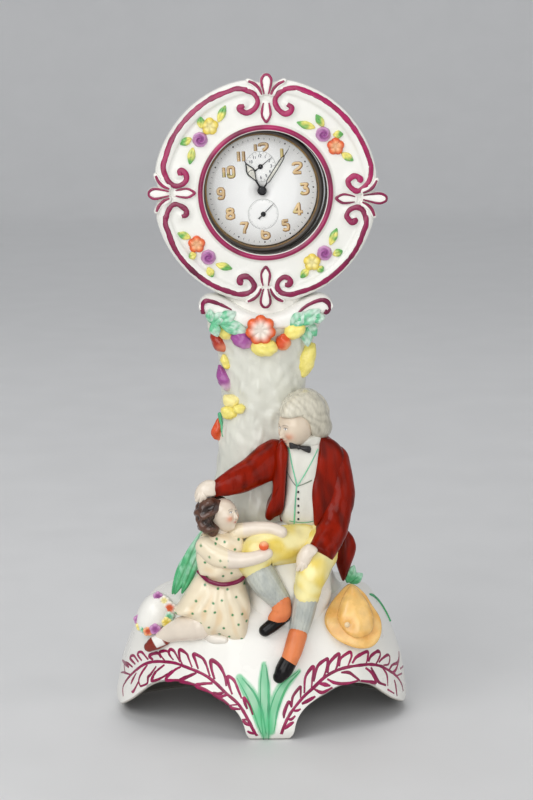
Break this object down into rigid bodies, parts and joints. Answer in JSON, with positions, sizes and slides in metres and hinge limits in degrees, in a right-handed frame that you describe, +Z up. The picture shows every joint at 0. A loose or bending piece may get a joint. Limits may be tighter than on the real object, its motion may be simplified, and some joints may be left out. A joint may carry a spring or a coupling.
{
  "type": "watch stand",
  "caption": "Glazed pottery watch stand: hollow arched base with seated figures, a tree trunk and a round ring whose rear pocket holds a pocket watch with turning hands.",
  "frame": {"origin": "middle of the base's footprint, on the surface that it stands on", "axes": "+Z up, -Y to the front where the dial faces, +X to the right seen from the front"},
  "size_m": [0.127, 0.082, 0.2766],
  "materials": {
    "white_glaze": "warm white lead glaze with maroon line painting",
    "cream_glaze": "cream glaze with green dots",
    "red_enamel": "streaky iron-red enamel over glaze",
    "yellow_enamel": "thin yellow enamel over glaze",
    "grey_enamel": "pale grey ribbed enamel over glaze",
    "orange_enamel": "orange enamel over glaze",
    "green_enamel": "watery green enamel over glaze",
    "black_enamel": "black enamel over glaze",
    "flesh_glaze": "pale flesh tint over glaze",
    "grey_hair_enamel": "streaky grey enamel over glaze",
    "brown_hair_enamel": "brown enamel over glaze",
    "straw_enamel": "apricot enamel over glaze",
    "gunmetal": "worn gunmetal lacquer on brass",
    "brass": "brushed brass",
    "steel": "polished steel",
    "blued_steel": "blackened steel",
    "dial_enamel": "white painted brass dial",
    "glass": "clear domed glass"
  },
  "bodies": {
    "stand": {"rock_base": "white_glaze", "rock_seat": "white_glaze", "tree_trunk": "white_glaze", "scroll_capital": "white_glaze", "watch_ring": "white_glaze", "watch_pocket": "white_glaze", "garland_swag": "yellow_enamel", "garland_drop_left": "yellow_enamel", "garland_drop_right": "yellow_enamel", "man_coat": "red_enamel", "man_coat_tail": "red_enamel", "man_waistcoat": "white_glaze", "man_breeches_right": "yellow_enamel", "man_breeches_left": "yellow_enamel", "man_stocking_right": "grey_enamel", "man_stocking_left": "grey_enamel", "man_boot_right": "orange_enamel", "man_boot_left": "orange_enamel", "man_head": "flesh_glaze", "man_hair": "grey_hair_enamel", "man_bow_tie": "black_enamel", "man_sleeve_right": "red_enamel", "man_sleeve_left": "red_enamel", "man_hand_right": "flesh_glaze", "man_hand_left": "flesh_glaze", "girl_skirt": "cream_glaze", "girl_bodice": "cream_glaze", "girl_leg": "flesh_glaze", "girl_head": "flesh_glaze", "girl_hair": "brown_hair_enamel", "girl_arm_right": "flesh_glaze", "girl_arm_left": "flesh_glaze", "straw_hat": "straw_enamel", "flower_basket": "white_glaze", "leaf_tuft_left": "green_enamel", "leaf_tuft_right": "green_enamel"},
    "watch": {"case_band": "gunmetal", "bezel": "gunmetal", "crystal": "glass", "dial": "dial_enamel", "back_hinge_pin": "steel", "main_plate": "brass", "train_bridge": "brass", "balance_cock": "brass"},
    "minute_hand": {"minute_hand": "blued_steel"},
    "hour_hand": {"hour_hand": "blued_steel"},
    "minute_wheel": {"minute_wheel": "brass"},
    "fourth_wheel": {"fourth_wheel": "brass", "seconds_hand": "blued_steel"},
    "center_wheel": {"center_wheel": "brass"},
    "third_wheel": {"third_wheel": "brass"},
    "escape_wheel": {"escape_wheel": "steel"},
    "mainspring_barrel": {"mainspring_barrel": "brass"},
    "pallet_lever": {"pallet_lever": "steel"},
    "balance_wheel": {"balance_wheel": "brass"},
    "alarm_hand": {"alarm_hand": "blued_steel"},
    "winding_stem": {"winding_stem": "steel"},
    "crown": {"crown": "gunmetal"},
    "bow": {"bow": "gunmetal"},
    "case_back": {"case_back": "gunmetal"}
  },
  "joints": [
    {"name": "watch_slide", "type": "slide", "parent": "stand", "child": "watch", "axis": [0, 1, 0], "range_m": [0, 0.045]},
    {"name": "minute_hand_turn", "type": "hinge", "parent": "watch", "child": "minute_hand", "pos_m": [-0.0009, -0.002, 0.2273], "axis": [0, 1, 0], "continuous": true},
    {"name": "hour_hand_turn", "type": "hinge", "parent": "watch", "child": "hour_hand", "pos_m": [-0.0009, -0.001, 0.2273], "axis": [0, 1, 0], "continuous": true},
    {"name": "minute_wheel_turn", "type": "hinge", "parent": "watch", "child": "minute_wheel", "pos_m": [-0.00519, 0.001, 0.22704], "axis": [0, 1, 0], "continuous": true},
    {"name": "seconds_turn", "type": "hinge", "parent": "watch", "child": "fourth_wheel", "pos_m": [-0.00029, 0.002, 0.21737], "axis": [0, 1, 0], "continuous": true},
    {"name": "third_wheel_turn", "type": "hinge", "parent": "watch", "child": "third_wheel", "pos_m": [-0.0053, 0.005, 0.22179], "axis": [0, 1, 0], "continuous": true},
    {"name": "center_wheel_turn", "type": "hinge", "parent": "watch", "child": "center_wheel", "pos_m": [-0.0009, 0.005, 0.2273], "axis": [0, 1, 0], "continuous": true},
    {"name": "escape_wheel_turn", "type": "hinge", "parent": "watch", "child": "escape_wheel", "pos_m": [0.00539, 0.005, 0.21621], "axis": [0, 1, 0], "continuous": true},
    {"name": "barrel_turn", "type": "hinge", "parent": "watch", "child": "mainspring_barrel", "pos_m": [-0.00307, 0.006, 0.23634], "axis": [0, 1, 0], "continuous": true},
    {"name": "pallet_swing", "type": "hinge", "parent": "watch", "child": "pallet_lever", "pos_m": [0.00938, 0.004, 0.22083], "axis": [0, 1, 0], "range_deg": [-8, 8]},
    {"name": "balance_swing", "type": "hinge", "parent": "watch", "child": "balance_wheel", "pos_m": [0.01395, 0.006, 0.22613], "axis": [0, 1, 0], "range_deg": [-220, 220], "stiffness_Nm_per_rad": 0.0000005},
    {"name": "alarm_hand_turn", "type": "hinge", "parent": "watch", "child": "alarm_hand", "pos_m": [-0.00151, -0.001, 0.23723], "axis": [0, 1, 0], "continuous": true},
    {"name": "stem_pull", "type": "slide", "parent": "watch", "child": "winding_stem", "axis": [-0.061, 0, 0.9981], "range_m": [0, 0.0012]},
    {"name": "crown_turn", "type": "hinge", "parent": "winding_stem", "child": "crown", "pos_m": [-0.00292, 0.00455, 0.26024], "axis": [-0.061, 0, 0.9981], "continuous": true},
    {"name": "bow_swing", "type": "hinge", "parent": "watch", "child": "bow", "pos_m": [-0.00267, 0.00455, 0.25627], "axis": [0.9981, 0, 0.061], "range_deg": [0, 115]},
    {"name": "case_back_open", "type": "hinge", "parent": "watch", "child": "case_back", "pos_m": [0.02535, 0.00975, 0.22891], "axis": [0.061, 0, -0.9981], "range_deg": [0, 100]}
  ],
  "couplings": [
    {"joint": "hour_hand_turn", "follows": "minute_hand_turn", "ratio": 0.083333},
    {"joint": "minute_wheel_turn", "follows": "minute_hand_turn", "ratio": -0.33333},
    {"joint": "third_wheel_turn", "follows": "seconds_turn", "ratio": -0.13333},
    {"joint": "center_wheel_turn", "follows": "seconds_turn", "ratio": 0.016667},
    {"joint": "escape_wheel_turn", "follows": "seconds_turn", "ratio": -10},
    {"joint": "barrel_turn", "follows": "seconds_turn", "ratio": -0.0020833}
  ]
}
